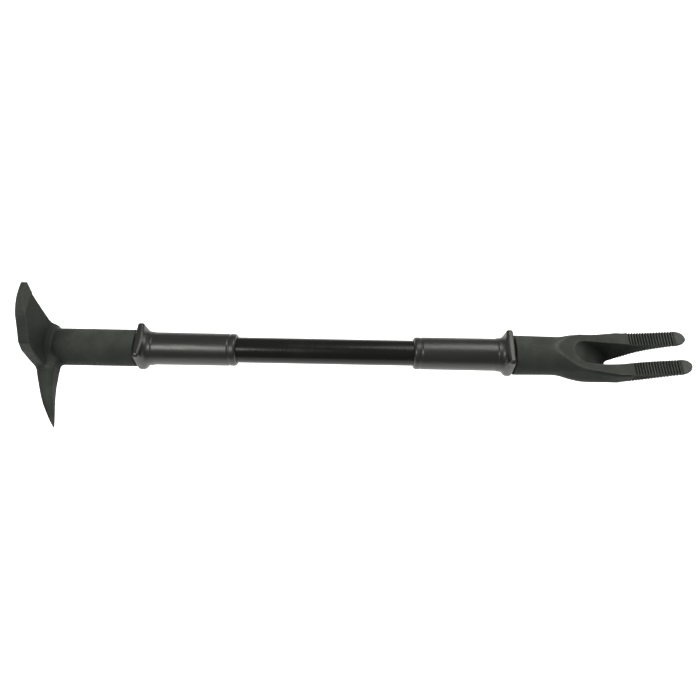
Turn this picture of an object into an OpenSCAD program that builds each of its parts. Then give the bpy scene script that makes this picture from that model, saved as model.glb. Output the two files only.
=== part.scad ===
// Forcible-entry pry bar: adze and pike head, tubular handle with two grips, serrated fork.
// Millimetres. The bar lies along +X from head to fork, the adze points to +Z, the pike to -Y.
// The origin is on the bar's axis, at the outer face of the head.

/* [Bar] */
// Length over the head face and the fork tips
overall_length = 762; // [700:1:915]
// Outside diameter of the handle tube
tube_diameter = 30.6; // [28:0.2:32]
// Wall thickness of the handle tube
tube_wall = 3.5; // [2.5:0.5:5]
// Diameter of the two cross pins
pin_diameter = 8; // [5:0.5:9]

/* [Head] */
// Diameter of the head socket
head_socket_diameter = 44; // [42:0.5:46]
// Distance from the bar's axis to the adze's cutting edge
adze_reach = 89; // [82:1:100]
// Thickness of the adze where it leaves the socket
adze_root = 12.5; // [10:0.5:14]
// Thickness of the adze along its cutting edge
adze_edge = 6.5; // [3:0.5:8]
// Distance from the bar's axis to the pike's point
pike_reach = 103.5; // [95:0.5:115]
// Thickness of the pike at its root, across the bar
pike_root = 26; // [20:1:30]

/* [Grips] */
// Length of each grip over its guard and end bead
grip_length = 118; // [105:1:135]
// Diameter of the part the hand holds
grip_diameter = 39; // [37:0.2:41]
// Width across the flats of the squared guard
guard_width = 46.4; // [45:0.2:50]
// Thickness of the guard's rim
guard_rim = 8; // [6:0.5:10]

/* [Fork] */
// Diameter of the fork socket
fork_socket_diameter = 47.4; // [45:0.2:49]
// Width of the fork behind the teeth
fork_width = 58; // [56:0.5:62]
// Width of the gap at the tips of the tines
gap_width = 20.6; // [18:0.2:24]
// Distance from one tooth to the next
tooth_pitch = 3.2; // [3:0.1:4.5]
// Depth of the grooves between the teeth
tooth_depth = 1; // [0.6:0.1:1.4]

/* [Hidden] */
$fn = 96;
fit_gap = 0.05;          // radial clearance between tube, sockets, grips and pins
tube_r = tube_diameter / 2;
bore_r = tube_r + fit_gap;

head_socket_r = head_socket_diameter / 2;
head_socket_end = 110.5;
head_bore_start = 25;
head_pin_x = 66;

fork_socket_r = fork_socket_diameter / 2;
fork_length = 204;       // socket mouth to tine tips
fork_x = overall_length - fork_length;
fork_bore_depth = 54;
fork_pin_x = 26;

grip_gap = 1;            // shadow gap between a socket's end and its guard
head_grip_x = head_socket_end + grip_gap;
fork_grip_x = fork_x - grip_gap;

// Adze outline seen along the bar: [y, z] with z as a share of the reach.
adze_outline = [
    [-30, -4], [-33.7, 0.03 * adze_reach], [-33.6, 0.3 * adze_reach], [-32.6, 0.55 * adze_reach],
    [-28.1, 0.671 * adze_reach], [-20.7, 0.746 * adze_reach], [-12.5, 0.833 * adze_reach],
    [-6.7, 0.899 * adze_reach], [-1.8, 0.935 * adze_reach], [5.2, 0.971 * adze_reach],
    [14, 0.996 * adze_reach], [24, adze_reach], [31.6, 0.993 * adze_reach], [32, 0.985 * adze_reach],
    [22, 0.89 * adze_reach], [20.6, 0.74 * adze_reach], [19.2, 0.5 * adze_reach],
    [18.4, 0.36 * adze_reach], [20, -4]
];

// Pike outline seen from above: [x, distance from the bar's axis as a share of the reach].
pike_outline = [
    [-0.5, 0.1], [0.1, 0.298], [1.5, 0.37], [3.6, 0.427], [7.8, 0.54], [12.2, 0.653], [16.5, 0.74],
    [21.3, 0.82], [27, 0.91], [33.1, 0.993], [34, 1], [34.5, 0.983], [31.4, 0.86], [28.2, 0.742],
    [25, 0.61], [22.2, 0.478], [20.5, 0.33], [20.3, 0.1]
];

// Fork: heights of the upper and lower surfaces, at distances from the socket's mouth.
upper_bend = [[42, 24.4], [72, 16.8], [100, 0], [148, 10.8], [204, 16.3]];
lower_bend = [[82, -23.2], [112, -22.5], [132, -14.5], [170, 3.5], [204, 13.8]];
tooth_start = 139;
tooth_end = 192;
tooth_count = floor((tooth_end - tooth_start) / tooth_pitch);
tine_half = fork_width / 2 - 0.6;

// A Bezier curve of any degree through its first and last points.
function blend(p, t) = len(p) == 1 ? p[0]
    : blend([for (i = [0:len(p) - 2]) p[i] * (1 - t) + p[i + 1] * t], t);
function curve(p, n) = [for (i = [0:n]) blend(p, i / n)];
// Height of a sampled curve at x.
function height(c, x, i = 0) = (i >= len(c) - 2 || x <= c[i + 1][0])
    ? c[i][1] + (c[i + 1][1] - c[i][1]) * (x - c[i][0]) / (c[i + 1][0] - c[i][0])
    : height(c, x, i + 1);

upper = curve(upper_bend, 28);
lower = curve(lower_bend, 20);

module along_x(length, r, start = 0) {
    translate([start, 0, 0]) rotate([0, 90, 0]) cylinder(h = length, r = r);
}

// A ring revolved about the bar from a profile of [radius, x] points.
module about_bar(points) {
    rotate([0, 90, 0]) rotate_extrude() polygon(points);
}

// A flat outline of [x, z] points given a width across the bar.
module side_view(points, width) {
    rotate([90, 0, 0]) linear_extrude(width, center = true) polygon(points);
}

// A flat outline of [y, z] points given a length along the bar.
module end_view(points, length) {
    rotate([90, 0, 90]) linear_extrude(length) polygon(points);
}

module cross_pin_hole(x) {
    translate([x, 0, 0]) rotate([90, 0, 0])
        cylinder(h = 80, r = pin_diameter / 2 + fit_gap, center = true);
}

module cross_pin(x, length) {
    chamfer = 0.8;
    r = pin_diameter / 2;
    color([0.2, 0.21, 0.21]) translate([x, 0, 0]) rotate([90, 0, 0])
        rotate_extrude() polygon([
            [0, -length / 2], [r - chamfer, -length / 2], [r, -length / 2 + chamfer],
            [r, length / 2 - chamfer], [r - chamfer, length / 2], [0, length / 2]
        ]);
}

module adze() {
    intersection() {
        end_view(adze_outline, adze_root);
        side_view([
            [0, -5], [0, 0.97 * adze_reach], [1, adze_reach + 1], [adze_edge, adze_reach + 1],
            [adze_root, 0.9 * adze_reach], [adze_root, -5]
        ], 90);
    }
}

module pike() {
    intersection() {
        translate([0, 0, -pike_root / 2]) linear_extrude(pike_root)
            polygon([for (p = pike_outline) [p[0], -p[1] * pike_reach]]);
        end_view([
            [-5, -pike_root / 2], [-0.32 * pike_reach, -pike_root / 2],
            [-0.7 * pike_reach, -0.29 * pike_root], [-1.02 * pike_reach, -1.2],
            [-1.02 * pike_reach, 1.2], [-0.7 * pike_reach, 0.29 * pike_root],
            [-0.32 * pike_reach, pike_root / 2], [-5, pike_root / 2]
        ], 60);
        // Bevels along the four corners, so the section is a flattened octagon.
        translate([13, 0, 0]) rotate([0, 45, 0])
            translate([0, -60, 0]) cube([0.95 * pike_root + 6, 140, 0.95 * pike_root + 6], center = true);
    }
}

module head_forging() {
    fillet = 6;
    hub_r = head_socket_r + fillet;
    color([0.25, 0.27, 0.26]) difference() {
        union() {
            adze();
            pike();
            // Hub and socket, with a hollow fillet where the socket leaves the hub.
            about_bar([
                [0, 0], [hub_r - 3, 0], [hub_r - 0.8, 0.8], [hub_r, 3], [hub_r, adze_root],
                for (a = [10:10:90])
                    [hub_r - fillet * sin(a), adze_root + fillet * (1 - cos(a))],
                [head_socket_r, head_socket_end - 1.5],
                [head_socket_r - 1.5, head_socket_end], [0, head_socket_end]
            ]);
        }
        along_x(head_socket_end, bore_r, head_bore_start);
        cross_pin_hole(head_pin_x);
    }
}

module handle_tube() {
    start = head_bore_start + 1;
    length = fork_x + fork_bore_depth - 1 - start;
    color([0.05, 0.05, 0.06]) difference() {
        along_x(length, tube_r, start);
        along_x(length + 2, tube_r - tube_wall, start - 1);
        cross_pin_hole(head_pin_x);
        cross_pin_hole(fork_x + fork_pin_x);
    }
}

// One grip with its guard's outer face at x = 0 and its end bead towards +x.
module grip() {
    r = grip_diameter / 2;
    half = guard_width / 2;
    tight = 3.6;
    broad = half - 5;
    bead = 4.5;
    cone = 8;
    difference() {
        union() {
            // Squared guard: close corners towards the adze, broad ones away from it.
            intersection() {
                rotate([90, 0, 90]) linear_extrude(guard_rim + cone) union() {
                    square([guard_width, 2 * (half - broad)], center = true);
                    translate([-half + tight, 0]) square([guard_width - 2 * tight, half]);
                    translate([-half, 0]) square([guard_width, half - tight]);
                    translate([-half + broad, -half]) square([guard_width - 2 * broad, half]);
                    for (s = [-1, 1]) {
                        translate([s * (half - tight), half - tight]) circle(tight);
                        translate([s * (half - broad), broad - half]) circle(broad);
                    }
                }
                about_bar([
                    [0, 0], [half + 1, 0], [half + 6, 3], [half + 7, guard_rim - 1.5],
                    [half + 1, guard_rim + 1], [r + 1.5, guard_rim + 4],
                    [r, guard_rim + cone], [0, guard_rim + cone]
                ]);
            }
            about_bar([
                [0, 1], [r - 0.6, 1], [r, grip_length / 2], [r - 0.3, grip_length - 13],
                [r - 0.3, grip_length - 11], [r - 1, grip_length - 10], [r - 0.3, grip_length - 9],
                [r - 0.3, grip_length - bead],
                for (a = [0:15:90])
                    [r - 0.3 - bead * 0.8 * (1 - cos(a)), grip_length - bead * (1 - sin(a))],
                [0, grip_length]
            ]);
        }
        along_x(grip_length + 2, bore_r, -1);
    }
}

module head_grip() {
    color([0.04, 0.04, 0.045]) translate([head_grip_x, 0, 0]) grip();
}

module claw_grip() {
    color([0.04, 0.04, 0.045]) translate([fork_grip_x, 0, 0]) mirror([1, 0, 0]) grip();
}

// The fork seen from the side: smooth curves, with the row of teeth cut in the upper one.
module fork_side() {
    teeth = [for (i = [0:tooth_count - 1]) let (x = tooth_start + i * tooth_pitch) each [
        [x, height(upper, x)],
        [x + 0.5 * tooth_pitch, height(upper, x + 0.5 * tooth_pitch) - tooth_depth]
    ]];
    side_view(concat(
        [for (p = upper) if (p[0] < tooth_start - 0.5) p],
        teeth,
        [for (p = upper) if (p[0] > tooth_start + tooth_count * tooth_pitch) p],
        [for (i = [len(lower) - 1:-1:0]) lower[i]],
        [[46, -23.4]]
    ), 80);
}

// The fork seen from above, outside edges only, with the teeth carried round onto them.
module fork_plan() {
    half = fork_width / 2;
    edge = concat(
        [[46, 22.6], [58, 23.4], [70, 26], [82, half - 1.2], [94, half - 0.4], [122, half],
         [130, tine_half + 0.1]],
        [for (i = [0:tooth_count - 1]) let (x = tooth_start + i * tooth_pitch) each
            [[x, tine_half], [x + 0.5 * tooth_pitch, tine_half - tooth_depth]]],
        [[tooth_end + 0.5, tine_half], [195, tine_half - 0.8], [200, tine_half - 2.6],
         [203, tine_half - 5.4], [fork_length, tine_half - 7.4]]
    );
    translate([0, 0, -30]) linear_extrude(60)
        polygon(concat(edge, [for (i = [len(edge) - 1:-1:0]) [edge[i][0], -edge[i][1]]]));
}

// The hollow and the gap between the tines, as sections of [x, floor, half width at the
// floor, half width at the top]; the floor runs down from the hollow's back to the crotch.
module fork_gap() {
    tip = gap_width / 2;
    sections = [
        [67, 19.5, 1, 5], [70, 16.5, 4, 9.5], [76, 11.5, 7, 13], [86, 4, 8, 15],
        [98, -4.5, 7.5, 15.3], [108, -12, 5, 15], [116.5, -19.5, 1.5, 14.7], [120.5, -30, 1, 14.4],
        [125, -30, 3, 14], [136, -30, 5.6, 12.9], [147, -30, 8.4, 11.5], [160, -30, 9.6, 10.8],
        [175, -30, tip, tip + 0.1], [195, -30, tip + 0.3, tip], [200, -30, tip + 1.4, tip + 1.2],
        [204.5, -30, tip + 4.8, tip + 4.4]
    ];
    top = 30;
    last = 4 * (len(sections) - 1);
    polyhedron(
        points = [for (s = sections) each
            [[s[0], -s[2], s[1]], [s[0], s[2], s[1]], [s[0], s[3], top], [s[0], -s[3], top]]],
        faces = concat(
            [[0, 1, 2], [0, 2, 3]],
            [for (i = [0:len(sections) - 2]) for (k = [0:3])
                let (a = 4 * i + k, b = 4 * i + (k + 1) % 4) each [[a, a + 4, b + 4], [a, b + 4, b]]],
            [[last, last + 2, last + 1], [last, last + 3, last + 2]]
        )
    );
}

module claw_forging() {
    color([0.25, 0.27, 0.26]) translate([fork_x, 0, 0]) difference() {
        union() {
            about_bar([
                [0, 0], [fork_socket_r - 1.5, 0], [fork_socket_r, 1.5],
                [fork_socket_r - 0.4, 47], [0, 47]
            ]);
            intersection() {
                union() {
                    // Shoulder that swells from the round socket to the width of the fork.
                    hull() {
                        along_x(2, fork_socket_r - 0.4, 45);
                        translate([82, -fork_width / 2, -14]) cube([4, fork_width, 30]);
                        translate([82, -fork_width / 2 + 9, -23]) cube([4, fork_width - 18, 30]);
                    }
                    intersection() {
                        fork_plan();
                        end_view([
                            [-40, 30], [-40, -5], [-21, -23.4], [21, -23.4], [40, -5], [40, 30]
                        ], 210);
                        translate([82, -50, -40]) cube([130, 100, 80]);
                    }
                }
                fork_side();
            }
        }
        fork_gap();
        along_x(fork_bore_depth + 1, bore_r, -1);
        cross_pin_hole(fork_pin_x);
    }
}

module head_pin() {
    cross_pin(head_pin_x, head_socket_diameter - 0.4);
}

module claw_pin() {
    cross_pin(fork_x + fork_pin_x, fork_socket_diameter - 0.8);
}

head_forging();
head_pin();
handle_tube();
head_grip();
claw_grip();
claw_pin();
claw_forging();
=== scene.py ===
"""Forcible-entry pry bar: forged head and claw, tubular handle and two moulded grips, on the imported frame."""

import math

import bpy
import numpy as np
from mathutils import Matrix, Quaternion, Vector


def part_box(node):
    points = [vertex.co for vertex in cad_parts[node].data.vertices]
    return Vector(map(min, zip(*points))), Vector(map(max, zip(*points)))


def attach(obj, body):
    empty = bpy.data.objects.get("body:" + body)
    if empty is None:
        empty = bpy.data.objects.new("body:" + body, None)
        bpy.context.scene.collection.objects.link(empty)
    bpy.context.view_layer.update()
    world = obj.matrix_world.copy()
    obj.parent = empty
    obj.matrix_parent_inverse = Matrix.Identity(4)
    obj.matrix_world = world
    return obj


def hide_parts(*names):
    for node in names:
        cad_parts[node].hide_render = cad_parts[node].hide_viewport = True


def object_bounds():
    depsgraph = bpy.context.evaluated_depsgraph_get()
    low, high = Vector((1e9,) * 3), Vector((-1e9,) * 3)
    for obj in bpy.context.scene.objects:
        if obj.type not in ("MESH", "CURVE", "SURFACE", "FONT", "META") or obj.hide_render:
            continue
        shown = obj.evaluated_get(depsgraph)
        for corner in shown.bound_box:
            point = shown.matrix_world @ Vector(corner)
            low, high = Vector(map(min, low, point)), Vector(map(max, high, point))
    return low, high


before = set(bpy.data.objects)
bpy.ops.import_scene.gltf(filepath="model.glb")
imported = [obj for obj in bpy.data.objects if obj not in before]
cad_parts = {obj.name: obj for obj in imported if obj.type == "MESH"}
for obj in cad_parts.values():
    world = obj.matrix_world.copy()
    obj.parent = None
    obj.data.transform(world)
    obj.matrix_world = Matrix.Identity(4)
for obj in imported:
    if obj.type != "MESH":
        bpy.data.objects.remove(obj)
cad_low, cad_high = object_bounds()

MM = 0.001


# ---- Places, read from the CAD nodes, in millimetres ----


def cad_box(node):
    """A CAD node's lowest and highest corners, in millimetres."""
    low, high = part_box(node)
    return low / MM, high / MM


head_low, head_high = cad_box("head_forging")
claw_low, claw_high = cad_box("claw_forging")
tube_low, tube_high = cad_box("handle_tube")
head_grip_low, head_grip_high = cad_box("head_grip")
claw_grip_high = cad_box("claw_grip")[1]
head_pin_low, head_pin_high = cad_box("head_pin")
claw_pin_low, claw_pin_high = cad_box("claw_pin")

tube_radius = tube_high.z
socket_end = head_high.x
adze_reach = head_high.z
pike_reach = -head_low.y
claw_length = claw_high.x - claw_low.x
guard_half = head_grip_high.z
grip_length = head_grip_high.x - head_grip_low.x
head_pin_x = (head_pin_low.x + head_pin_high.x) / 2
claw_pin_x = (claw_pin_low.x + claw_pin_high.x) / 2
pin_radius = (head_pin_high.x - head_pin_low.x) / 2
head_socket_radius = head_pin_high.y + 0.2

BORE_GAP = 0.05
HEAD_BORE_START = tube_low.x - 1
CLAW_BORE_DEPTH = tube_high.x - claw_low.x + 1


# ---- Distance fields: negative inside, in millimetres ----


def smooth_max(a, b, k):
    """The larger of two fields, with the corner between them rounded over about k."""
    h = np.maximum(k - np.abs(a - b), 0) / k
    return np.maximum(a, b) + h * h * k * 0.25


def smooth_min(a, b, k):
    """The smaller of two fields, with a hollow fillet of about k where they meet."""
    return -smooth_max(-a, -b, k)


def outline(points, u, v):
    """Signed distance from (u, v) to a closed outline of (u, v) points."""
    u, v = np.broadcast_arrays(u, v)
    nearest = np.full(u.shape, 1e12)
    inside = np.zeros(u.shape, bool)
    for (u0, v0), (u1, v1) in zip(points, points[1:] + points[:1]):
        du, dv = u1 - u0, v1 - v0
        t = np.clip(((u - u0) * du + (v - v0) * dv) / (du * du + dv * dv), 0, 1)
        nearest = np.minimum(nearest, (u - u0 - t * du) ** 2 + (v - v0 - t * dv) ** 2)
        crosses = (v0 > v) != (v1 > v)
        if dv:
            inside ^= crosses & (u < u0 + (v - v0) * du / dv)
    return np.where(inside, -1, 1) * np.sqrt(nearest)


def bezier(points, count):
    """Points along the Bezier curve through the first and last of the given ones."""
    t = np.linspace(0, 1, count)[:, None]
    level = [np.array(p, float)[None, :] + 0 * t for p in points]
    while len(level) > 1:
        level = [a * (1 - t) + b * t for a, b in zip(level, level[1:])]
    return level[0]


def along(stations, x):
    """A value given at a few stations along the bar, eased between them without overshoot."""
    at = np.array([s[0] for s in stations], float)
    value = np.array([s[1] for s in stations], float)
    slope = np.diff(value) / np.diff(at)
    tangent = np.zeros(len(at))
    same_way = slope[:-1] * slope[1:] > 0
    mean = 2 * slope[:-1] * slope[1:] / np.where(same_way, slope[:-1] + slope[1:], 1)
    tangent[1:-1] = np.where(same_way, mean, 0)
    tangent[0], tangent[-1] = slope[0], slope[-1]
    i = np.clip(np.searchsorted(at, x) - 1, 0, len(at) - 2)
    width = at[i + 1] - at[i]
    t = np.clip((x - at[i]) / width, 0, 1)
    rise = value[i] * (2 * t**3 - 3 * t**2 + 1) + value[i + 1] * (3 * t**2 - 2 * t**3)
    return rise + width * (tangent[i] * (t**3 - 2 * t**2 + t) + tangent[i + 1] * (t**3 - t**2))


def rounded_box(u, v, half_u, half_v, radius):
    """A flat rounded rectangle about the origin; its sizes may vary from point to point."""
    a = np.abs(u) - half_u + radius
    b = np.abs(v) - half_v + radius
    corner = np.hypot(np.maximum(a, 0), np.maximum(b, 0))
    return corner + np.minimum(np.maximum(a, b), 0) - radius


def cross_hole(field, x, y, z, centre):
    """Cuts the cross pin's hole through a socket, with a slightly broken edge."""
    hole = np.hypot(x - centre, z) - pin_radius - BORE_GAP
    return smooth_max(field, -hole, 0.7)


# ---- Head forging: adze, pike and socket ----

ADZE_OUTLINE = [
    (-30, -0.1), (-33.7, 0.03), (-33.6, 0.3), (-32.6, 0.55), (-28.1, 0.671), (-20.7, 0.746), (-12.5, 0.833),
    (-6.7, 0.899), (-1.8, 0.935), (5.2, 0.971), (14, 0.996), (24, 1.0), (31.6, 0.993), (32, 0.985),
    (22, 0.89), (20.6, 0.74), (19.2, 0.5), (18.4, 0.36), (21, 0.1), (21, -0.1),
]
PLATE_THICKNESS = 12.5
BEVEL_FROM = 80
BEVEL_SLOPE = 0.65
HUB_STEP = 4.5
HUB_FILLET = 4
PIKE_OUTLINE = [
    (-0.5, 0.1), (0.1, 0.298), (1.5, 0.37), (3.6, 0.427), (7.8, 0.54), (12.2, 0.653), (16.5, 0.74),
    (21.3, 0.82), (27, 0.91), (33.1, 0.993), (34, 1.0), (34.5, 0.983), (31.4, 0.86), (28.2, 0.742),
    (25, 0.61), (22.2, 0.478), (20.5, 0.33), (20.3, 0.1),
]
PIKE_HALF_THICKNESS = [(0.05, 13), (0.32, 13), (0.7, 7.5), (1.03, 1.3)]
PIKE_BEVEL = [(0.1, 5), (0.5, 4.5), (1.0, 0.8)]


def adze_bevel(x, z):
    """Distance outside the plane ground across the adze's inner edge."""
    return (x - PLATE_THICKNESS + BEVEL_SLOPE * (z - BEVEL_FROM)) / math.hypot(1, BEVEL_SLOPE)


def head_field(x, y, z):
    """The adze plate, the pike and the socket, run together with forged fillets."""
    radius = np.hypot(y, z)
    plan = outline([(u, v * adze_reach) for u, v in ADZE_OUTLINE], y, z)
    slab = np.abs(x - PLATE_THICKNESS / 2) - PLATE_THICKNESS / 2
    plate = smooth_max(plan, slab, 1.3)
    plate = smooth_max(plate, adze_bevel(x, z), 0.6)

    hub = smooth_max(radius - head_socket_radius - HUB_STEP, slab, 3)
    socket = smooth_max(radius - head_socket_radius, x - socket_end, 2.5)
    socket = np.maximum(socket, 1.5 - x)

    reach = -y / pike_reach
    thick = np.abs(z) - along(PIKE_HALF_THICKNESS, reach)
    curve = outline([(u, -v * pike_reach) for u, v in PIKE_OUTLINE], x, y)
    bevel = (curve + thick + along(PIKE_BEVEL, reach)) * math.sqrt(0.5)
    pike = smooth_max(smooth_max(curve, thick, 1.2), bevel, 1.2)

    field = smooth_min(smooth_min(plate, hub, 5), socket, HUB_FILLET)
    field = smooth_min(field, pike, HUB_FILLET)
    field = smooth_max(field, -x, 1.2)
    bore = np.maximum(radius - tube_radius - BORE_GAP, HEAD_BORE_START - x)
    field = smooth_max(field, -bore, 0.8)
    return cross_hole(field, x, y, z, head_pin_x)


def head_wear_and_shade(x, y, z):
    """Where the head is worn bare (above 0) or gets painted shade (below 0): painted shade on the adze's
    slanted face, its inner face and the pike's middle.
    """
    plan = outline([(u, v * adze_reach) for u, v in ADZE_OUTLINE], y, z)
    on_side = np.exp(-((plan / 0.8) ** 2))
    # The adze's near side strip is worn bare up to z 57; from z 60 to 72 the slanted face gets painted shade,
    # fading out by z 80.
    sides = on_side * np.interp(z, *zip((8, 0), (20, 0.5), (57, 0.5), (60, -0.5), (72, -0.5), (80, 0)))
    edge = np.clip(1.6 - x, 0, 1) * (z > 55) * on_side
    bevel = np.exp(-((adze_bevel(x, z) / 0.5) ** 2)) * np.clip(z - BEVEL_FROM, 0, 1)
    # Painted shade along the pike's middle; its tip is worn bare.
    pike = np.interp(-y / pike_reach, (0.3, 0.4, 0.85, 1), (0, -0.2, -0.15, 0.2))
    on_inner = np.exp(-(((x - PLATE_THICKNESS) / 0.8) ** 2))
    # Painted shade on the adze's inner face above z 12.
    inner = -0.35 * on_inner * np.clip((z - 12) / 12, 0, 1) * (on_side < 0.2)
    return np.maximum(sides, 0.4 * edge) + 0.08 * bevel + pike + inner


# ---- Claw forging: socket, hollow and two serrated tines; x runs from the socket's mouth ----

UPPER_BEND = [(42, 24.4), (72, 16.8), (100, 0), (148, 10.8), (204, 16.3)]
LOWER_BEND = [(82, -23.2), (112, -22.5), (132, -14.5), (170, 3.5), (204, 13.8)]
HALF_WIDTH = [(0, 23.7), (46, 23.1), (56, 23.6), (70, 26.2), (82, 27.7), (100, 28.1), (116, 28.6),
              (124, 28.9), (133, 28.4), (189, 28.6), (195, 27.9), (200, 25.8), (204, 21)]
DRAFT = [(46, 0), (64, 0.12), (90, 0.22), (112, 0.1), (130, 0.0), (204, 0)]
CORNER_RADIUS = [(0, 23.7), (48, 22.9), (66, 18), (84, 14), (112, 10), (130, 5), (150, 3),
                 (190, 1.6), (204, 1.2)]
GAP_TOP = [(62, 2), (68, 8), (74, 12), (84, 14.6), (98, 15), (122, 14.2), (150, 11.2), (170, 10.2),
           (193, 9.8), (199, 11), (204, 15.5)]
GAP_BOTTOM = [(62, 2), (90, 5), (108, 4.6), (118, 3.2), (124, 4.2), (136, 6.2), (147, 8.4), (159.5, 9.7),
              (171, 10.2), (193, 10.2), (199, 11.2), (204, 15.5)]
HOLLOW_FLOOR = [(56, 27), (67, 18.2), (76, 11), (90, 0), (104, -9), (114, -17), (118.5, -22),
                (124.5, -44), (204, -60)]
TEETH_FROM, TEETH_TO = 138.7, 192
UNDER_TEETH_FROM = 125.9
UNDERCUT = [(62, 0), (80, 0.7), (112, 1.5), (132, 1.7), (138, 0)]
TOOTH_PITCH = 3.2
TOOTH_DEPTH = 1.5

upper_curve = bezier(UPPER_BEND, 90)
lower_curve = bezier(LOWER_BEND, 90)


def tooth_wave(x, start):
    """How deep the grooves are at x: a row of steep grooves between flat lands, easing in and out."""
    phase = ((x - TEETH_FROM) / TOOTH_PITCH) % 1
    groove = np.clip(1.75 - 5 * np.abs(phase - 0.5), 0, 1)
    ease = np.clip((x - start) / 2, 0, 1) * np.clip((TEETH_TO - x) / 2, 0, 1)
    return TOOTH_DEPTH * groove * ease


def claw_parts(x, y, z):
    """The claw's body, top face and gap as three fields; x is measured from the socket's mouth."""
    side = np.abs(y)
    teeth = tooth_wave(x, TEETH_FROM)
    top = np.interp(x, upper_curve[:, 0], upper_curve[:, 1], left=30)
    bottom = np.interp(x, lower_curve[:, 0], lower_curve[:, 1])
    bottom = np.where(x < lower_curve[0, 0], along([(0, -23.7), (46, -23.1), (82, -23.2)], x), bottom)
    bottom = bottom + 1.2 * tooth_wave(x, UNDER_TEETH_FROM)
    half = along(HALF_WIDTH, x) - along(DRAFT, x) * np.maximum(z + 6, 0)
    half = half - along(UNDERCUT, x) * np.exp(-(((top - z - 2.6) / 1.7) ** 2))
    side_teeth = teeth * (0.15 + 0.65 * np.clip((top - z) / 8, 0, 1))
    crown = along([(0, 23.7), (46, 23.1), (204, 23)], x)
    middle = (crown + bottom) / 2
    radius = np.minimum(along(CORNER_RADIUS, x), half - 0.01)

    body = rounded_box(y, z - middle, half - side_teeth, (crown - bottom) / 2, radius)
    body = smooth_max(body, -x, 2)
    body = smooth_max(body, x - claw_length, 3)

    share = np.clip((z - bottom) / np.maximum(top - bottom, 3), -0.3, 1.4)
    gap_half = along(GAP_BOTTOM, x) * (1 - share) + along(GAP_TOP, x) * share
    gap = smooth_max(side - gap_half, along(HOLLOW_FLOOR, x) - z, 9)
    return body, z - top + teeth, gap


def claw_field(x, y, z):
    """The claw with x measured from the socket's mouth."""
    body, face, gap = claw_parts(x, y, z)
    field = smooth_max(smooth_max(body, face, 0.8), -gap, 1.0)
    bore = np.maximum(np.hypot(y, z) - tube_radius - BORE_GAP, x - CLAW_BORE_DEPTH)
    field = smooth_max(field, -bore, 0.8)
    return cross_hole(field, x, y, z, claw_pin_x - claw_low.x)


def claw_rub(x, y, z):
    """Where the claw is worn bare: the rim's two edges and the tines' tips."""
    body, face, gap = claw_parts(x, y, z)
    outer_edge = np.exp(-((np.maximum(np.abs(body), np.abs(face)) / 0.75) ** 2))
    inner_edge = np.exp(-((np.maximum(np.abs(gap), np.abs(face)) / 0.9) ** 2))
    tips = np.clip((x - TEETH_TO) / 3, 0, 1)
    return np.maximum(np.maximum(0.36 * outer_edge, 0.3 * inner_edge), 0.4 * tips)


# ---- Moulded grip: x runs from the guard's outer face ----

GRIP_PROFILE = [(0, 19.5), (16, 19.5), (60, 19.4), (104, 19.3), (118, 19.2)]
GUARD_RIM = 8.8
GUARD_ROUND = 3.4
CONE_LENGTH = 9
CONE_WALL, CONE_FLARE = 4, 4.5
GROOVE_CENTRE, GROOVE_RADIUS = 20.4, 1.6
CLOSE_CORNER, BROAD_CORNER = 4.5, 17.5
BEAD_LENGTH = 9


def grip_field(x, y, z):
    """A grip: squared guard, hollow cone, slightly waisted body, groove and rounded end bead."""
    radius = np.hypot(y, z)
    corner = np.where(z > 0, CLOSE_CORNER, BROAD_CORNER)
    square = rounded_box(y, z, guard_half - 0.1, guard_half - 0.1, corner)
    across = np.maximum(square + GUARD_ROUND, 0)
    ahead = np.maximum(np.abs(x - GUARD_RIM / 2) - GUARD_RIM / 2 + GUARD_ROUND, 0)
    guard = np.hypot(across, ahead) - GUARD_ROUND

    body = radius - along(GRIP_PROFILE, x)
    cone_end = GUARD_RIM + CONE_LENGTH
    flare = CONE_FLARE * np.clip((cone_end - x) / CONE_LENGTH, 0, 1) ** 2
    cone = (radius - tube_radius - CONE_WALL - flare) * 0.8
    cone = smooth_max(cone, square + 0.6, 3)
    body = smooth_min(body, np.maximum(cone, x - cone_end), 2.5)
    groove_at = grip_length - BEAD_LENGTH
    groove = np.hypot(x - groove_at, radius - GROOVE_CENTRE) - GROOVE_RADIUS
    body = smooth_max(body, -groove, 0.8)
    body = smooth_max(body, np.abs(x - grip_length / 2) - grip_length / 2, 4)

    field = smooth_max(smooth_min(guard, body, 4), -x, 2.5)
    bore = radius - tube_radius - BORE_GAP
    return smooth_max(field, -bore, 1.2)


# ---- Meshes ----

CELL_CORNERS = [(i, j, k) for i in (0, 1) for j in (0, 1) for k in (0, 1)]
CELL_EDGES = [
    (a, b) for a in CELL_CORNERS for b in CELL_CORNERS if a < b and sum(abs(p - q) for p, q in zip(a, b)) == 1
]


def axis_stations(start, end, step, fine=None):
    """Grid positions along one axis, a little past both ends; fine is (end, end, step) for one stretch."""
    margin = 3.5
    if not fine:
        return np.arange(start - margin, end + margin + step, step)
    fine_from, fine_to, fine_step = fine
    middle = np.arange(fine_from, fine_to, fine_step)
    before = np.arange(fine_from - step, start - margin - step, -step)[::-1]
    after = np.arange(middle[-1] + step, end + margin + step, step)
    return np.concatenate([before, middle, after])


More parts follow.
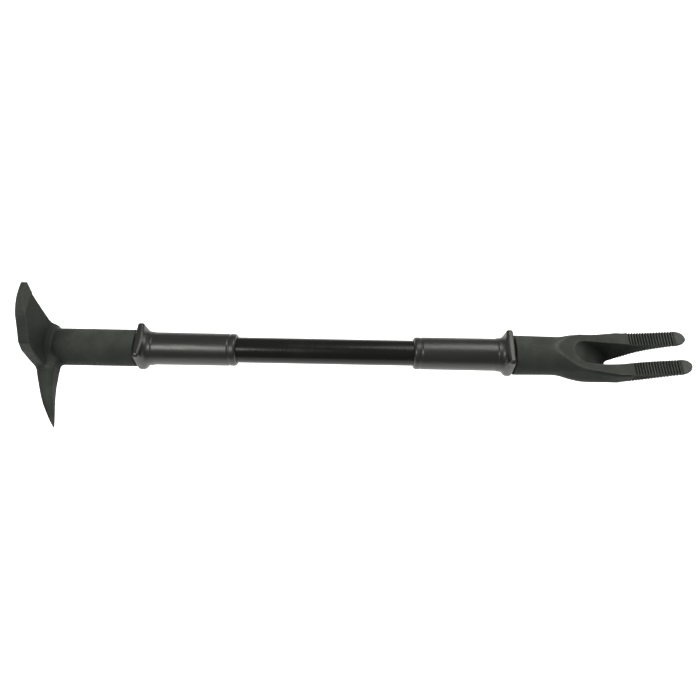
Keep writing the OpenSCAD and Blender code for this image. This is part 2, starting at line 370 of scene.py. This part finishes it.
def surface_net(values, axes):
    """A closed quad mesh of the field's zero level: one vertex per grid cell it passes through."""
    inside = values < 0
    nx, ny, nz = (n - 1 for n in values.shape)

    def corner(grid, c):
        return grid[c[0] : c[0] + nx, c[1] : c[1] + ny, c[2] : c[2] + nz]

    filled = sum(corner(inside, c).astype(np.int8) for c in CELL_CORNERS)
    cells = np.argwhere((filled > 0) & (filled < 8))
    total = np.zeros((len(cells), 3))
    count = np.zeros(len(cells))
    for a, b in CELL_EDGES:
        va = values[tuple((cells + a).T)]
        vb = values[tuple((cells + b).T)]
        crossed = (va < 0) != (vb < 0)
        share = np.where(crossed, va / np.where(crossed, va - vb, 1), 0)[:, None]
        point = np.array(a) + share * (np.array(b) - np.array(a))
        total += np.where(crossed[:, None], point, 0)
        count += crossed
    place = cells + total / count[:, None]
    points = np.stack([np.interp(place[:, i], np.arange(len(axes[i])), axes[i]) for i in range(3)], axis=1)

    number = np.full((nx, ny, nz), -1, np.int32)
    number[tuple(cells.T)] = np.arange(len(cells))
    quads = []
    for axis in range(3):
        u, v = (axis + 1) % 3, (axis + 2) % 3
        ahead = np.roll(inside, -1, axis)
        crossing = np.argwhere(inside != ahead)
        within = crossing[:, axis] < values.shape[axis] - 1
        crossing = crossing[within & (crossing[:, u] > 0) & (crossing[:, v] > 0)]
        du, dv = np.eye(3, dtype=int)[u], np.eye(3, dtype=int)[v]
        ring = [crossing - du - dv, crossing - dv, crossing, crossing - du]
        quad = np.stack([number[tuple(r.T)] for r in ring], axis=1)
        outward = inside[tuple(crossing.T)]
        quad[~outward] = quad[~outward][:, ::-1]
        quads.append(quad)
    return points, np.concatenate(quads)


def gradient(field, p, reach=0.04):
    """The field's slope at each point."""
    parts = []
    for axis in range(3):
        shift = np.zeros(3)
        shift[axis] = reach
        parts.append((field(*(p + shift).T) - field(*(p - shift).T)) / (2 * reach))
    return np.stack(parts, axis=1)


def settle(field, p, step):
    """Moves each vertex onto the field's zero level."""
    for _ in range(3):
        slope = gradient(field, p)
        move = slope * (field(*p.T) / np.maximum((slope**2).sum(1), 0.05))[:, None]
        length = np.linalg.norm(move, axis=1, keepdims=True)
        p = p - move * np.minimum(1, 0.5 * step / np.maximum(length, 1e-9))
    return p


def add_mesh(name, points, faces, normals=None, rubbed=None):
    """A new object from points in millimetres; the per-point value says how bare each point is (above 0) and
    how much painted shade it gets (below 0), for the material.
    """
    mesh = bpy.data.meshes.new(name)
    mesh.from_pydata((points * MM).tolist(), [], faces)
    mesh.shade_smooth()
    if normals is not None:
        mesh.normals_split_custom_set_from_vertices(normals.tolist())
    if rubbed is not None:
        mesh.attributes.new("rubbed", "FLOAT", "POINT").data.foreach_set("value", rubbed)
    made = bpy.data.objects.new(name, mesh)
    bpy.context.scene.collection.objects.link(made)
    return made


def carve(name, field, low, high, step, place, fine=None, rub=None):
    """A closed piece from a field: place turns its own coordinates into the frame's; rub, when given, works out
    each point's wear and painted shade for the material.
    """
    axes = [axis_stations(low[i], high[i], step, fine if i == 0 else None) for i in range(3)]
    values = field(axes[0][:, None, None], axes[1][None, :, None], axes[2][None, None, :])
    points, quads = surface_net(values, axes)
    points = settle(field, points, step)
    normals = gradient(field, points)
    normals /= np.maximum(np.linalg.norm(normals, axis=1, keepdims=True), 1e-9)
    scale, offset = place
    if scale[0] < 0:
        quads = quads[:, ::-1]
    rubbed = rub(*points.T) if rub else None
    return add_mesh(name, points * scale + offset, quads.tolist(), normals * scale, rubbed)


def revolve(name, profile, turns=192):
    """A closed ring-shaped or solid-ended piece about the bar from (x, radius) points in a loop."""
    angle = 2 * math.pi * np.arange(turns) / turns
    rings = [np.stack([np.full(turns, x), r * np.cos(angle), r * np.sin(angle)], axis=1) for x, r in profile]
    faces = []
    for i in range(len(profile)):
        a, b = i * turns, (i + 1) % len(profile) * turns
        faces += [(a + k, a + (k + 1) % turns, b + (k + 1) % turns, b + k) for k in range(turns)]
    made = add_mesh(name, np.concatenate(rings), faces)
    made.data.set_sharp_from_angle(angle=math.radians(30))
    return made


# ---- Materials ----


def new_material(name):
    """An empty node material with its Principled shader, and a function that adds and wires a node."""
    material = bpy.data.materials.new(name)
    material.use_nodes = True
    tree = material.node_tree
    shader = tree.nodes["Principled BSDF"]

    def add(kind, settings=None, **inputs):
        node = tree.nodes.new(kind)
        for key, value in (settings or {}).items():
            setattr(node, key, value)
        for key, value in inputs.items():
            socket = node.inputs[int(key[1:])] if key[0] == "i" and key[1:].isdigit() else node.inputs[key]
            if isinstance(value, bpy.types.NodeSocket):
                tree.links.new(value, socket)
            else:
                socket.default_value = value
        return node

    def wire(**sockets):
        for key, value in sockets.items():
            socket = shader.inputs[key.replace("_", " ")]
            if isinstance(value, bpy.types.NodeSocket):
                tree.links.new(value, socket)
            else:
                socket.default_value = value

    return material, add, wire


def noise(add, coords, scale, detail=6, roughness=0.55):
    """A noise value at a scale in cycles per metre."""
    return add(
        "ShaderNodeTexNoise", None, Vector=coords, Scale=scale, Detail=detail, Roughness=roughness
    ).outputs["Fac"]


def ramp(add, value, low, high, at_low=0.0, at_high=1.0):
    """A value mapped and clamped from one range to another."""
    node = add("ShaderNodeMapRange", {"clamp": True}, Value=value)
    for key, number in zip(("From Min", "From Max", "To Min", "To Max"), (low, high, at_low, at_high)):
        node.inputs[key].default_value = number
    return node.outputs["Result"]


def mix_colour(add, share, a, b):
    """Two colours mixed by a share."""
    return add("ShaderNodeMix", {"data_type": "RGBA"}, i0=share, i6=a, i7=b).outputs[2]


def arithmetic(add, operation, a, b):
    """A value worked out from two others."""
    return add("ShaderNodeMath", {"operation": operation}, i0=a, i1=b).outputs[0]


def shelter(add, reach, inside=False):
    """1 on open surface, less in hollows nearer than the reach; inside turns it round, to find edges."""
    settings = {"samples": 6, "inside": inside, "only_local": True}
    return add("ShaderNodeAmbientOcclusion", settings, Distance=reach).outputs["AO"]


def forged_steel(name):
    """Dark coated forging: fine scale, faint hammering, edges worn a little lighter, and painted shade in
    hollows, crevices and on some of the head's faces.
    """
    material, add, wire = new_material(name)
    coords = add("ShaderNodeTexCoord").outputs["Object"]
    blotch = noise(add, coords, 42, 5)
    grain = noise(add, coords, 900, 4, 0.7)
    hammer = noise(add, coords, 130, 3, 0.5)
    pits = add("ShaderNodeTexVoronoi", {"feature": "F1"}, Vector=coords, Scale=420).outputs["Distance"]
    pit_mask = ramp(add, pits, 0.06, 0.3)
    edge = ramp(add, shelter(add, 0.0012, inside=True), 0.55, 0.9, 1, 0)
    rub_patches = ramp(add, noise(add, coords, 160, 6, 0.7), 0.35, 0.68, 0.15, 1)
    rub = arithmetic(add, "MULTIPLY", edge, rub_patches)
    # Per-point value: above 0 worn bare, below 0 painted shade.
    rubbed = add("ShaderNodeAttribute", {"attribute_name": "rubbed"}).outputs["Fac"]
    bare_patches = ramp(add, noise(add, coords, 240, 5, 0.65), 0.3, 0.62, 0.35, 1)
    bare = arithmetic(add, "MULTIPLY", rubbed, bare_patches)
    painted_face_shade = ramp(add, rubbed, -1, 0, 0, 1)
    # Painted shade: the colour goes towards black in hollows and crevices found by occlusion and on faces
    # marked below 0, and the specular level drops with it.
    hollow = ramp(add, shelter(add, 0.035), 0.3, 0.9, 0.1, 1)
    crevice = ramp(add, shelter(add, 0.0025), 0.3, 0.95, 0.3, 1)
    painted_shade = arithmetic(add, "MULTIPLY", arithmetic(add, "MULTIPLY", hollow, crevice), painted_face_shade)

    dark, light = (0.032, 0.0365, 0.0315, 1), (0.054, 0.0595, 0.053, 1)
    coat = mix_colour(add, ramp(add, blotch, 0.3, 0.7), dark, light)
    coat = mix_colour(add, ramp(add, grain, 0.55, 0.8, 0, 0.35), coat, (0.068, 0.074, 0.068, 1))
    # Painted shade mixed in towards near black.
    coat = mix_colour(add, painted_shade, (0.004, 0.0045, 0.004, 1), coat)
    colour = mix_colour(add, arithmetic(add, "MAXIMUM", rub, bare), coat, (0.15, 0.155, 0.15, 1))
    rough = ramp(add, grain, 0.3, 0.7, 0.55, 0.72)
    rough = arithmetic(add, "SUBTRACT", rough, arithmetic(add, "MULTIPLY", rub, 0.16))
    fine, coarse = arithmetic(add, "MULTIPLY", grain, 0.45), arithmetic(add, "MULTIPLY", hammer, 0.8)
    height = arithmetic(add, "ADD", fine, coarse)
    height = arithmetic(add, "ADD", height, arithmetic(add, "MULTIPLY", pit_mask, 0.3))
    bump = add("ShaderNodeBump", None, Strength=0.55, Distance=0.00035, Height=height)
    sheen = arithmetic(add, "MULTIPLY", painted_shade, 0.13)
    wire(Base_Color=colour, Roughness=rough, Specular_IOR_Level=sheen, Normal=bump.outputs["Normal"])
    return material


def moulded_vinyl(name):
    """Gloss black dipped vinyl: slow ripples in the skin, a little bloom and scuffing."""
    material, add, wire = new_material(name)
    coords = add("ShaderNodeTexCoord").outputs["Object"]
    stretched = add("ShaderNodeMapping", None, Vector=coords, Scale=(0.22, 1, 1)).outputs["Vector"]
    ripple = noise(add, stretched, 85, 2, 0.4)
    skin = noise(add, coords, 1400, 3, 0.6)
    scuff = ramp(add, noise(add, stretched, 260, 8, 0.75), 0.56, 0.74)
    edge = ramp(add, add("ShaderNodeNewGeometry").outputs["Pointiness"], 0.52, 0.6, 0, 0.5)
    colour = mix_colour(add, scuff, (0.013, 0.0135, 0.012, 1), (0.022, 0.0225, 0.021, 1))
    colour = mix_colour(add, edge, colour, (0.034, 0.035, 0.033, 1))
    rough = ramp(add, skin, 0.3, 0.7, 0.33, 0.41)
    rough = arithmetic(add, "ADD", rough, arithmetic(add, "MULTIPLY", scuff, 0.13))
    height = arithmetic(add, "ADD", ripple, arithmetic(add, "MULTIPLY", skin, 0.05))
    bump = add("ShaderNodeBump", None, Strength=0.35, Distance=0.0011, Height=height)
    wire(Base_Color=colour, Roughness=rough, Normal=bump.outputs["Normal"], IOR=1.5, Specular_IOR_Level=0.8)
    return material


def gloss_enamel(name):
    """Gloss black enamel on the tube: orange peel, hairline scratches along the bar, dust in patches."""
    material, add, wire = new_material(name)
    coords = add("ShaderNodeTexCoord").outputs["Object"]
    stretched = add("ShaderNodeMapping", None, Vector=coords, Scale=(0.03, 1, 1)).outputs["Vector"]
    peel = noise(add, coords, 330, 2, 0.5)
    hairline = ramp(add, noise(add, stretched, 2600, 2, 0.5), 0.62, 0.72)
    patch = ramp(add, noise(add, coords, 28, 4), 0.45, 0.7)
    scratch = arithmetic(add, "MULTIPLY", hairline, patch)
    colour = mix_colour(add, scratch, (0.007, 0.007, 0.0065, 1), (0.02, 0.02, 0.019, 1))
    rough = ramp(add, patch, 0, 1, 0.24, 0.31)
    rough = arithmetic(add, "ADD", rough, arithmetic(add, "MULTIPLY", scratch, 0.2))
    bump = add("ShaderNodeBump", None, Strength=0.12, Distance=0.0003, Height=peel)
    wire(Base_Color=colour, Roughness=rough, Normal=bump.outputs["Normal"], Specular_IOR_Level=0.35)
    return material


def dressed_pin(name):
    """Cross pin's end: the same coating, turned marks round it and a worn rim."""
    material, add, wire = new_material(name)
    coords = add("ShaderNodeTexCoord").outputs["Object"]
    grain = noise(add, coords, 1500, 5, 0.6)
    blotch = noise(add, coords, 300, 4)
    edge = ramp(add, add("ShaderNodeNewGeometry").outputs["Pointiness"], 0.52, 0.62)
    dark, light = (0.026, 0.031, 0.026, 1), (0.045, 0.051, 0.045, 1)
    colour = mix_colour(add, ramp(add, blotch, 0.35, 0.65), dark, light)
    colour = mix_colour(add, edge, colour, (0.08, 0.085, 0.082, 1))
    bump = add("ShaderNodeBump", None, Strength=0.4, Distance=0.0002, Height=grain)
    wire(
        Base_Color=colour, Roughness=ramp(add, grain, 0.3, 0.7, 0.55, 0.7), Specular_IOR_Level=0.13,
        Normal=bump.outputs["Normal"],
    )
    return material


# ---- Pieces ----


def finish_piece(piece, node, material):
    """Gives a piece its material and its place in the frame."""
    piece.data.materials.append(material)
    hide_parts(node)
    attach(piece, "root")
    return piece


def make_tube():
    """The handle tube, with a small chamfer at each end."""
    chamfer, wall = 0.8, 3.5
    inner = tube_radius - wall
    start, end = tube_low.x, tube_high.x
    stations = np.linspace(start + chamfer, end - chamfer, 48)
    profile = [(start, inner), (start, tube_radius - chamfer)]
    profile += [(x, tube_radius) for x in stations]
    profile += [(end, tube_radius - chamfer), (end, inner)]
    return revolve("handle_tube_skin", profile)


def make_pin(name, low, high):
    """A cross pin with chamfered ends."""
    bevel = 0.9
    half = high.y
    outer, turns = pin_radius, 64
    profile = [(-half, 0.6), (-half, outer - bevel), (-half + bevel, outer), (half - bevel, outer),
               (half, outer - bevel), (half, 0.6)]
    pin = revolve(name, profile, turns)
    pin.data.transform(Quaternion((0, 0, 1), math.pi / 2).to_matrix().to_4x4())
    pin.data.transform(Matrix.Translation(Vector(((low.x + high.x) / 2, 0, 0)) * MM))
    return pin


QUICK_STEP = 1.0
HEAD_STEP = 0.75 * QUICK_STEP
CLAW_STEP = 0.68 * QUICK_STEP
TOOTH_STEP = 0.36 * QUICK_STEP
GRIP_STEP = 0.6 * QUICK_STEP

forging = forged_steel("forged_steel")
vinyl = moulded_vinyl("moulded_vinyl")
enamel = gloss_enamel("gloss_enamel")
pin_finish = dressed_pin("dressed_pin")

head = carve("head_forging_skin", head_field, head_low, head_high, HEAD_STEP, (np.ones(3), np.zeros(3)),
             rub=head_wear_and_shade)
finish_piece(head, "head_forging", forging)

claw_origin = np.array([claw_low.x, 0, 0])
claw = carve("claw_forging_skin", claw_field, Vector(claw_low) - Vector(claw_origin),
             Vector(claw_high) - Vector(claw_origin), CLAW_STEP, (np.ones(3), claw_origin),
             fine=(UNDER_TEETH_FROM - 2, TEETH_TO + 2, TOOTH_STEP), rub=claw_rub)
finish_piece(claw, "claw_forging", forging)

grip_box = Vector((0, -guard_half, -guard_half)), Vector((grip_length, guard_half, guard_half))
for name, node, place in (
    ("head_grip_skin", "head_grip", (np.array([1, 1, 1]), np.array([head_grip_low.x, 0, 0]))),
    ("claw_grip_skin", "claw_grip", (np.array([-1, 1, 1]), np.array([claw_grip_high.x, 0, 0]))),
):
    grip = carve(name, grip_field, *grip_box, GRIP_STEP, place)
    finish_piece(grip, node, vinyl)

finish_piece(make_tube(), "handle_tube", enamel)
finish_piece(make_pin("head_pin_skin", head_pin_low, head_pin_high), "head_pin", pin_finish)
finish_piece(make_pin("claw_pin_skin", claw_pin_low, claw_pin_high), "claw_pin", pin_finish)


# ---- Studio ----


def plain_material(name, colour):
    material, add, wire = new_material(name)
    path = add("ShaderNodeLightPath")
    mirrored = arithmetic(add, "MULTIPLY", path.outputs["Is Glossy Ray"], 0.8)
    glow = arithmetic(add, "MAXIMUM", path.outputs["Is Camera Ray"], mirrored)
    wire(Base_Color=colour, Roughness=0.8, Emission_Color=(1, 1, 1, 1), Emission_Strength=glow)
    return material


def make_floor():
    """A wide pale floor, well under the object so that no hard shadow reaches the picture."""
    size, drop = 8.0, 0.6
    bpy.ops.mesh.primitive_plane_add(size=size, location=(0.38, 0, cad_low.z - drop))
    floor = bpy.context.object
    floor.name = "floor"
    floor.data.materials.append(plain_material("pale_floor", (0.93, 0.93, 0.93, 1)))


def area_light(name, place, target, size, watts, mirrored=True):
    """A soft rectangular lamp aimed at a point; one that is not mirrored never shows in a glossy surface."""
    lamp = bpy.data.lights.new(name, "AREA")
    lamp.shape = "RECTANGLE"
    lamp.size, lamp.size_y = size
    lamp.energy = watts
    lamp.color = (1, 1, 0.94)
    made = bpy.data.objects.new(name, lamp)
    made.location = place
    made.rotation_mode = "QUATERNION"
    made.rotation_quaternion = (Vector(target) - Vector(place)).to_track_quat("-Z", "Y")
    made.visible_camera = False
    made.visible_glossy = mirrored
    bpy.context.scene.collection.objects.link(made)


def make_world(seen, diffuse, glossy):
    """White behind the object to the camera, with separate strengths for soft light and reflections."""
    world = bpy.data.worlds.new("studio")
    world.use_nodes = True
    tree = world.node_tree
    path = tree.nodes.new("ShaderNodeLightPath")
    strength = diffuse
    for ray, value in (("Is Glossy Ray", glossy), ("Is Camera Ray", seen)):
        choice = tree.nodes.new("ShaderNodeMix")
        tree.links.new(path.outputs[ray], choice.inputs[0])
        if isinstance(strength, bpy.types.NodeSocket):
            tree.links.new(strength, choice.inputs[2])
        else:
            choice.inputs[2].default_value = strength
        choice.inputs[3].default_value = value
        strength = choice.outputs[0]
    background = tree.nodes["Background"]
    tree.links.new(strength, background.inputs["Strength"])
    background.inputs["Color"].default_value = (1, 1, 1, 1)
    bpy.context.scene.world = world


def make_camera():
    """The photograph's view: in front of the bar, well above it, close enough for strong perspective."""
    elevation, roll = math.radians(61), math.radians(1.083)
    distance = 0.7522
    target = Vector((0.36374, 0.00215, 0.0012))
    back = Vector((0, -math.cos(elevation), math.sin(elevation)))
    camera = bpy.data.objects.new("camera", bpy.data.cameras.new("camera"))
    camera.data.sensor_width = 36
    camera.data.lens = 32.3
    camera.location = target + back * distance
    camera.rotation_mode = "QUATERNION"
    camera.rotation_quaternion = (-back).to_track_quat("-Z", "Y") @ Quaternion((0, 0, 1), roll)
    bpy.context.scene.collection.objects.link(camera)
    bpy.context.scene.camera = camera


make_floor()
middle = (0.38, 0, 0)
area_light("key_left", (-0.2, -0.42, 1.15), middle, (0.42, 0.3), 5.8)
area_light("key_right", (0.78, 0.52, 1.15), middle, (0.5, 0.85), 5.4)
area_light("back_fill", (0.85, 0.95, 1.15), middle, (1.8, 1.0), 14.5, mirrored=False)
make_world(seen=1.0, diffuse=0.33, glossy=0.2)
make_camera()
bpy.context.scene.view_settings.view_transform = "Standard"
